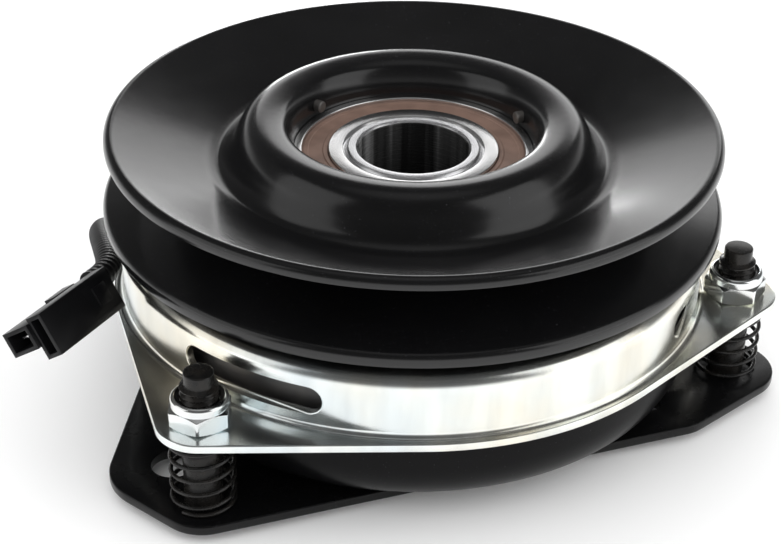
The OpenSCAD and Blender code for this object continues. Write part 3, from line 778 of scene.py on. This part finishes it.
def make_bearing():
    """The races, the moulded brown seals and the sleeve, with ground faces and broken edges."""
    top, bottom = BEARING_TOP, BEARING_BOTTOM
    seat, land, inner_land, sleeve = 28.8, 27.0, 22.0, SLEEVE_R
    outer = [
        (seat, bottom), (CUP_R, bottom), (CUP_R, top), (seat, top), (seat, top - 2.2), (land, top - 2.2),
        (land, bottom + 2.2), (seat, bottom + 2.2),
    ]
    mesh = turned("outer_race", rounded(outer, 0.35))
    piece("outer_race", mesh, BRIGHT_STEEL, "pulley", "bright_steel", "pulley_bearing_outer_race")
    inner = [
        (sleeve, bottom + 0.9), (sleeve + 0.9, bottom), (inner_land, bottom), (inner_land, top),
        (sleeve + 0.9, top), (sleeve, top - 0.9),
    ]
    mesh = turned("inner_race", rounded(inner, 0.25))
    piece("inner_race", mesh, BRIGHT_STEEL, "rotor", "bright_steel", "pulley_bearing_inner_race")
    for name, face, way, node in (
        ("upper_seal", top, 1, "pulley_bearing_upper_seal"),
        ("lower_seal", bottom, -1, "pulley_bearing_lower_seal"),
    ):
        seal = [
            (22.15, -1.7), (22.15, -0.75), (22.7, -0.62), (23.3, -0.62), (23.5, -0.85), (27.1, -0.85),
            (27.35, -0.7), (28.3, -0.7), (28.8, -0.9), (28.8, -1.7),
        ]
        profile = [(r, face + way * z) for r, z in rounded(seal, 0.12, 3)]
        piece(name, turned(name, profile), SEAL_BROWN, "pulley", "seal_rubber", node)
    base = low("spacer_sleeve").z
    shoulder = 21
    bush = [
        (BORE_R, base), (shoulder, base), (shoulder, bottom), (sleeve, bottom),
        (sleeve, SLEEVE_TOP - SLEEVE_EDGE), (sleeve - SLEEVE_EDGE, SLEEVE_TOP),
        (BORE_R + SLEEVE_EDGE, SLEEVE_TOP), (BORE_R, SLEEVE_TOP - SLEEVE_EDGE),
    ]
    mesh = turned("sleeve", rounded(bush, 0.25))
    piece("sleeve", mesh, BORED_STEEL, "rotor", "bright_steel", "spacer_sleeve")


# ---- brake plate ----

def rim_radius(inset=0.0):
    """The rim's outline as a function of the angle: round, with tangents to a corner at each stud."""
    edge, corner = EDGE_R - inset, CORNER_R - inset
    swing = math.acos((EDGE_R - CORNER_R) / STUD_CIRCLE_R)
    touch = math.atan2(corner * math.sin(swing), STUD_CIRCLE_R + corner * math.cos(swing))

    def radius(angle):
        third = TURN / 3
        a = abs((angle + third / 2) % third - third / 2)
        if a <= touch:
            side = STUD_CIRCLE_R * math.sin(a)
            return STUD_CIRCLE_R * math.cos(a) + math.sqrt(max(0, corner ** 2 - side ** 2))
        if a < swing:
            return edge / math.cos(a - swing)
        return edge

    return radius


def slot_cutter(first, last):
    """A slot's cutter, which flares at both faces of the wall so that the slot's edges come out rounded."""
    end, flare = SLOT_H / 2, 0.35
    middle = math.radians((first + last) / 2)
    reach = math.radians(last - first) / 2 * WALL_R - end
    levels = [(WALL_R - PLATE_T - 3, flare)]
    for k in range(5):
        a = math.radians(90 - 22.5 * k)
        levels.append((WALL_R - PLATE_T + flare - flare * math.sin(a), flare * (1 - math.cos(a))))
    for k in range(5):
        a = math.radians(22.5 * k)
        levels.append((WALL_R - flare + flare * math.sin(a), flare * (1 - math.cos(a))))
    levels.append((WALL_R + 3, flare))
    loops = []
    for radius, grown in levels:
        loop = []
        for side in (1, -1):
            for k in range(17):
                a = math.radians(90 - 180 * k / 16) if side > 0 else math.radians(-90 - 180 * k / 16)
                along = side * reach + (end + grown) * math.cos(a)
                rise = (end + grown) * math.sin(a)
                turn = middle + along / WALL_R
                loop.append((radius * math.cos(turn), radius * math.sin(turn), SLOT_Z + rise))
        loops.append(loop)
    return loft(loops)


def hole_cutter(x, y, r, z0, z1, flare=0.3):
    """A round hole's cutter through a plate from z0 to z1, flared at both faces."""
    levels = [(z0 - 2, flare)]
    for k in range(4):
        a = math.radians(90 - 30 * k)
        levels.append((z0 + flare - flare * math.sin(a), flare * (1 - math.cos(a))))
    for k in range(4):
        a = math.radians(30 * k)
        levels.append((z1 - flare + flare * math.sin(a), flare * (1 - math.cos(a))))
    levels.append((z1 + 2, flare))
    loops = around([(r + grown, z) for z, grown in levels], 64)
    return placed(loft(loops), Matrix.Translation((x, y, 0)))


def make_brake_plate():
    """The zinc plate: a rim with three corners, a wall with gauge slots, and a crown turned inwards."""
    foot, bend, edge = 1.7, 4.0, 0.35
    foot_z = RIM_Z + foot
    rows = [(rim_radius(edge), RIM_LOW)]
    for k in range(1, 6):
        a = math.radians(90 * k / 5)
        rows.append((rim_radius(edge - edge * math.sin(a)), RIM_LOW + edge - edge * math.cos(a)))
    for k in range(6):
        a = math.radians(90 * k / 5)
        rows.append((rim_radius(edge - edge * math.cos(a)), RIM_Z - edge + edge * math.sin(a)))
    for share in (0.97, 0.8, 0.55, 0.3, 0.1):
        outline = rim_radius(edge)
        rows.append((lambda a, s=share, o=outline: WALL_R + foot + s * (o(a) - WALL_R - foot), RIM_Z))
    rows += arc(WALL_R + foot, foot_z, foot, 270, 180, 8)
    rows += [(WALL_R, z) for z in np.linspace(foot_z, CROWN_Z - bend, 14)[1:-1]]
    rows += arc(WALL_R - bend, CROWN_Z - bend, bend, 0, 90, 12)
    rows += [(r, CROWN_Z) for r in np.linspace(WALL_R - bend, CROWN_IN_R + 0.4, 6)[1:]]
    rows += [(CROWN_IN_R, CROWN_Z - 0.4), (CROWN_IN_R, CROWN_Z - PLATE_T + 0.4)]
    rows += [(CROWN_IN_R + 0.4, CROWN_Z - PLATE_T)]
    rows += arc(WALL_R - bend, CROWN_Z - bend, bend - PLATE_T, 90, 0, 8)
    rows += [(WALL_R - PLATE_T, z) for z in np.linspace(CROWN_Z - bend, foot_z, 14)[1:-1]]
    rows += arc(WALL_R + foot, foot_z, foot + PLATE_T, 180, 270, 8)
    for share in (0.1, 0.3, 0.55, 0.8, 0.97):
        outline = rim_radius(edge)
        rows.append((lambda a, s=share, o=outline: WALL_R + foot + s * (o(a) - WALL_R - foot), RIM_LOW))
    mesh = mesh_from("brake_cover", *loft(around(rows, 900), ring=True))
    cutters = [slot_cutter(*s) for s in WALL_SLOTS]
    for angle in STUD_ANGLES:
        a = math.radians(angle)
        x, y = STUD_CIRCLE_R * math.cos(a), STUD_CIRCLE_R * math.sin(a)
        cutters.append(hole_cutter(x, y, STUD_R + 0.45, RIM_LOW, RIM_Z))
    mesh = cut(mesh, cutters)
    piece("brake_cover", mesh, ZINC_PLATE, "brake", "zinc_plate", "brake_plate")


# ---- nuts, studs and springs ----

def nut_part():
    """A hexagonal lock nut with chamfered ends and a rounded collar crimped over its insert."""
    flat, top, hex_top = NUT_FLATS / 2, NUT_TOP - RIM_Z, NUT_HEX_H
    corner = flat / math.cos(math.pi / 6) - 0.15
    collar, lip = flat - 0.1, 1.0

    def hexagon(limit):
        def radius(angle):
            a = angle % (math.pi / 3) - math.pi / 6
            return min(flat / math.cos(a), corner, limit)
        return radius

    rows = [(5.1, 0.35), (5.5, 0)]
    rows += [(hexagon(flat - 0.25 + z * 1.9), z) for z in np.linspace(0, 0.8, 7)]
    rows += [(hexagon(99), z) for z in (1.2, 2.0, 2.8, 3.5)]
    rows += [(hexagon(flat - 0.05 + (hex_top - z) * 1.75), z) for z in np.linspace(4.0, hex_top, 10)]
    rows += [(collar, hex_top + 0.02), (collar, top - lip)]
    rows += arc(collar - lip, top - lip, lip, 10, 90, 9)
    rows += [(6.0, top - 0.03), (5.95, top - 0.2), (5.95, top - 2.2), (4.95, top - 2.3)]
    return loft(around(rows, 240), ring=True)


def make_nuts():
    """Three nuts and the dark inserts in their collars."""
    turns = (5.5, 20, 35.5)
    top = NUT_TOP - RIM_Z
    hole, edge, bottom, face = 4.85, 5.94, top - 2.2, top - 0.5
    ring = [(hole, bottom), (edge, bottom), (edge, face), (5.3, face), (hole, top - 0.9)]
    ring = rounded(ring, 0.15, 3)
    nuts, inserts = [], []
    for place, turn in zip(stud_places(), turns):
        spot = Matrix.Translation(place.translation + Vector((0, 0, RIM_Z)))
        spot = spot @ Matrix.Rotation(math.radians(turn), 4, "Z")
        nuts.append(placed(nut_part(), spot))
        inserts.append(placed(loft(around(ring, 96), ring=True), spot))
    mesh = mesh_from("lock_nuts", *joined(nuts), sharp=25)
    piece("lock_nuts", mesh, ZINC_NUT, "brake", "zinc_hardware", "adjusting_nuts")
    mesh = mesh_from("inserts", *joined(inserts))
    piece("inserts", mesh, BLACK_PLASTIC, "brake", "black_plastic", "nut_inserts")


def stud_part():
    """A stud with a round head, a helical thread and a smooth dog point with a flat end."""
    depth, thread_low, thread_high = 0.85, 20.0, 37.5

    def thread(z):
        def radius(angle):
            phase = (z / THREAD_PITCH - angle / TURN) % 1
            ramp = min(1, (z - thread_low) / 1.0, (thread_high - z) / 0.9)
            return STUD_R - depth * max(0, ramp) * abs(2 * phase - 1)
        return radius

    rows = [(0.02, FLOOR_Z), (5.6, FLOOR_Z), (6.6, FLOOR_Z + 0.25)]
    rows += [(STUD_HEAD_R, FLOOR_Z + 1.0), (STUD_HEAD_R, BACKING_LOW)]
    rows += [(STUD_R, BACKING_LOW + 0.02), (STUD_R, 12), (STUD_R, thread_low)]
    steps = int((thread_high - thread_low) / THREAD_PITCH * 12)
    rows += [(thread(z), z) for z in np.linspace(thread_low, thread_high, steps)[1:]]
    rows += [(4.2, thread_high + 0.2), (DOG_R, thread_high + 0.55)]
    rows += arc(DOG_R - 0.45, STUD_TOP - 0.45, 0.45, 0, 85, 6)
    rows += [(0.02, STUD_TOP - 0.01)]
    return loft(around(rows, 72))


def make_studs():
    parts = [placed(stud_part(), place) for place in stud_places()]
    mesh = mesh_from("studs", *joined(parts), sharp=50)
    piece("studs", mesh, OXIDE, "field", "black_oxide", "adjusting_studs")


def spring_part():
    """A compression spring with flatter turns at both ends."""
    wire, turns, per_turn, dead, dead_rise = SPRING_WIRE_R, SPRING_TURNS, 48, 0.9, 1.5
    coil_r = SPRING_D / 2 - wire
    lowest, highest = BACKING_TOP + wire, RIM_LOW - wire
    path = []
    for i in range(int(turns * per_turn) + 1):
        u = i / per_turn
        if u < dead:
            z = lowest + dead_rise * u / dead
        elif u > turns - dead:
            z = highest - dead_rise * (turns - u) / dead
        else:
            share = (u - dead) / (turns - 2 * dead)
            z = lowest + dead_rise + (highest - lowest - 2 * dead_rise) * share
        path.append((coil_r * math.cos(TURN * u), coil_r * math.sin(TURN * u), z))
    return loft(tube_loops(path, wire, 14))


def make_springs():
    """Three springs, which stretch between the backing plate and the brake plate."""
    parts = [placed(spring_part(), place) for place in stud_places()]
    thing = bpy.data.objects.new("springs", mesh_from("springs", *joined(parts)))
    bpy.context.scene.collection.objects.link(thing)
    thing.data.materials.append(SPRING_BLACK)
    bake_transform(thing)
    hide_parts("adjusting_springs")


# ---- field ----

def make_shell():
    """The field shell: a drawn pan with a wide rounded lower edge, and the tube for the field bearing."""
    edge_r, t, tube = 14.0, 2.8, TUBE_R
    floor_z = BACKING_TOP
    centre_r, centre_z = SHELL_R - edge_r, floor_z + edge_r
    seat, base, lip, top = 34.0, low("field_shell").z, 20.2, high("coil_bobbin").z + 0.6
    profile = [(SHELL_R - 0.4, SHELL_TOP), (SHELL_R - 0.1, SHELL_TOP - 0.1), (SHELL_R, SHELL_TOP - 0.4)]
    profile += arc(centre_r, centre_z, edge_r, 0, -90, 32)
    profile += [(tube, floor_z), (tube, base), (seat, base), (seat, lip), (seat - 1.6, lip)]
    profile += [(seat - 1.6, lip + 2), (seat, lip + 2), (seat, top), (tube, top), (tube, floor_z + t)]
    profile += arc(centre_r, centre_z, edge_r - t, -90, 0, 24)
    profile += [(SHELL_R - t, SHELL_TOP - 0.4), (SHELL_R - t + 0.1, SHELL_TOP - 0.1)]
    profile += [(SHELL_R - t + 0.4, SHELL_TOP)]
    mesh = turned("shell", profile, 320)
    start = np.array(LEAD_ROUTE[-1], float)
    way = np.array(BOOT_DIR)
    path = [start + way * BOOT_LEN * s for s in (0, 0.5, 1)]
    mesh = cut(mesh, [loft(tube_loops(path, BOOT_R, 36))])
    piece("shell", mesh, SHELL_BLACK, "field", "gloss_black", "field_shell")


def outline_of(circles, count):
    """The tight outline round circles (x, y, r), as points at even steps of direction."""
    out = []
    for k in range(count):
        a = TURN * k / count
        c, s = math.cos(a), math.sin(a)
        x, y, r = max(circles, key=lambda q: q[0] * c + q[1] * s + q[2])
        out.append((x + r * c, y + r * s, c, s))
    return out


def make_backing_plate():
    """The flat black plate: an outline round six circles, with an anchor hole, a small hole and a bore."""
    back = STUD_CIRCLE_R * math.sin(math.radians(60))
    circles = [
        (STUD_CIRCLE_R, 0, 12.9), (70, -19, 12), (-STUD_CIRCLE_R / 2, -back, 11.3), (-53.3, -62.4, 15.5),
        (-STUD_CIRCLE_R / 2, back, 11.3), (-53.3, 62.4, 15.5),
    ]
    edge = 0.5
    turns = [math.radians(a) for a in (0, 22, 45, 68, 90)]
    levels = [(BACKING_LOW + edge - edge * math.cos(a), edge - edge * math.sin(a)) for a in turns]
    levels += [(BACKING_TOP - edge + edge * math.sin(a), edge - edge * math.cos(a)) for a in turns]
    outline = outline_of(circles, 720)
    loops = [[(x - inset * c, y - inset * s, z) for x, y, c, s in outline] for z, inset in levels]
    mesh = mesh_from("mounting_plate", *loft(loops), sharp=30)
    z0, z1 = BACKING_LOW, BACKING_TOP
    cutters = [
        hole_cutter(*ANCHOR_AT, ANCHOR_R, z0, z1),
        hole_cutter(*SMALL_HOLE_AT, SMALL_HOLE_R, z0, z1),
        hole_cutter(0, 0, TUBE_R, z0, z1),
    ]
    mesh = cut(mesh, cutters, 30)
    piece("mounting_plate", mesh, SATIN_BLACK, "field", "satin_black", "backing_plate")


# ---- leaf springs, hidden under the pulley, which bend between the pulley and the armature ----

def make_leaves():
    """Three spring steel strips from rivets in the carrier to rivets in the armature."""
    node = frame["nodes"]["leaf_springs"]
    mesh = node.data.copy()
    thing = bpy.data.objects.new("leaves", mesh)
    bpy.context.scene.collection.objects.link(thing)
    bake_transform(thing)
    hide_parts("leaf_springs")


# ---- floor and light ----

def make_floor():
    """A plain pale floor."""
    half = 4.0
    mesh = bpy.data.meshes.new("floor")
    corners = [(x * half, y * half, FLOOR_Z * MM) for x, y in ((-1, -1), (1, -1), (1, 1), (-1, 1))]
    mesh.from_pydata(corners, [], [(0, 1, 2, 3)])
    p = Paint("floor", Roughness=0.6)
    p.colour(p.ramp(p.noise(3, 2), [(0.3, (0.95, 0.95, 0.95)), (0.7, (0.97, 0.97, 0.97))]))
    mesh.materials.append(p.material)
    floor = bpy.data.objects.new("floor", mesh)
    bpy.context.scene.collection.objects.link(floor)


def softbox(name, place, target, width, height, power):
    """A rectangular area light that faces a point. Places are in metres."""
    data = bpy.data.lights.new(name, "AREA")
    data.shape = "RECTANGLE"
    data.size = width
    data.size_y = height
    data.energy = power
    light = bpy.data.objects.new(name, data)
    light.location = place
    aim = Vector(target) - Vector(place)
    light.rotation_euler = aim.to_track_quat("-Z", "Y").to_euler()
    bpy.context.scene.collection.objects.link(light)


ROOM_LIGHT = 1.2


def surroundings():
    """A pale room for the light it gives. Gloss mirrors a darker one, pale at its horizon and overhead."""
    world = bpy.data.worlds.new("world")
    world.use_nodes = True
    tree = world.node_tree
    lit = tree.nodes["Background"]
    lit.inputs["Color"].default_value = (1, 1, 1, 1)
    lit.inputs["Strength"].default_value = ROOM_LIGHT
    way = tree.nodes.new("ShaderNodeTexCoord")
    parts = tree.nodes.new("ShaderNodeSeparateXYZ")
    band = tree.nodes.new("ShaderNodeValToRGB")
    mirrored = tree.nodes.new("ShaderNodeBackground")
    ray = tree.nodes.new("ShaderNodeLightPath")
    both = tree.nodes.new("ShaderNodeMixShader")
    stops = ((0.0, 0.95), (0.10, 0.75), (0.22, 0.12), (0.7, 0.06), (0.88, 0.08), (1.0, 0.35))
    while len(band.color_ramp.elements) < len(stops):
        band.color_ramp.elements.new(0.5)
    for element, (height, grey) in zip(band.color_ramp.elements, stops):
        element.position = height
        element.color = (grey, grey, grey, 1)
    tree.links.new(way.outputs["Generated"], parts.inputs["Vector"])
    tree.links.new(parts.outputs["Z"], band.inputs["Fac"])
    tree.links.new(band.outputs["Color"], mirrored.inputs["Color"])
    tree.links.new(ray.outputs["Is Glossy Ray"], both.inputs["Fac"])
    tree.links.new(lit.outputs["Background"], both.inputs[1])
    tree.links.new(mirrored.outputs["Background"], both.inputs[2])
    tree.links.new(both.outputs["Shader"], tree.nodes["World Output"].inputs["Surface"])
    bpy.context.scene.world = world


def make_light():
    """Soft boxes behind, low behind and to each side. The black coat shows them as broad highlights."""
    centre = (0, 0, 0.04)
    softbox("behind", (0.05, 1.15, 0.42), centre, 1.0, 0.45, 2.4)
    softbox("low", (-0.32, 1.3, 0.16), centre, 0.3, 0.22, 1.5)
    softbox("left", (-1.1, -0.5, 0.6), centre, 1.0, 1.1, 3)
    softbox("right", (1.1, -0.3, 0.6), centre, 1.0, 1.1, 4)
    surroundings()
    bpy.context.scene.view_settings.view_transform = "Standard"


make_camera()
make_lead()
paint_cad_nodes()
make_upper_sheave()
make_pins()
make_lower_sheave()
make_bearing()
make_brake_plate()
make_nuts()
make_studs()
make_springs()
make_shell()
make_backing_plate()
make_leaves()
make_floor()
make_light()
